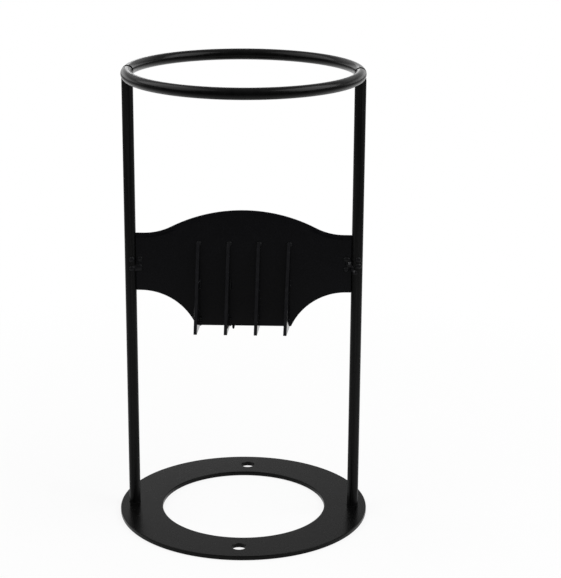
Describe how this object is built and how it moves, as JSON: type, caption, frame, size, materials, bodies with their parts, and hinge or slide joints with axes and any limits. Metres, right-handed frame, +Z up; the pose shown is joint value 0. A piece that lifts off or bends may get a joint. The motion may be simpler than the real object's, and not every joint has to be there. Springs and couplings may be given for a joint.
{
  "type": "kindling splitter",
  "caption": "Welded steel kindling splitter: a base ring and uprights carry a round hoop over a fixed upright blade with wedge fins; wood is struck down through the hoop.",
  "frame": {"origin": "centre of the base ring's underside", "axes": "+Z up, +X along the blade from the left upright to the right one, -Y to the front"},
  "size_m": [0.225, 0.225, 0.408],
  "materials": {
    "plate_coat": "satin black powder coat, fine orange peel",
    "blade_coat": "satin black powder coat, fine orange peel",
    "bar_coat": "satin black powder coat, fine orange peel",
    "fin_coat": "satin black powder coat, fine orange peel",
    "weld_coat": "satin black powder coat, fine orange peel"
  },
  "bodies": {
    "root": {"base_plate": "plate_coat", "front_fin_1": "fin_coat", "front_fin_2": "fin_coat", "front_fin_3": "fin_coat", "front_fin_4": "fin_coat", "front_fin_welds": "weld_coat", "front_half_hoop": "bar_coat", "left_blade_welds": "weld_coat", "left_foot_weld": "weld_coat", "left_hoop_weld": "weld_coat", "left_upright": "bar_coat", "rear_fin_1": "fin_coat", "rear_fin_2": "fin_coat", "rear_fin_3": "fin_coat", "rear_fin_4": "fin_coat", "rear_fin_welds": "weld_coat", "rear_half_hoop": "bar_coat", "right_blade_welds": "weld_coat", "right_foot_weld": "weld_coat", "right_hoop_weld": "weld_coat", "right_upright": "bar_coat", "splitting_blade": "blade_coat"}
  },
  "joints": []
}
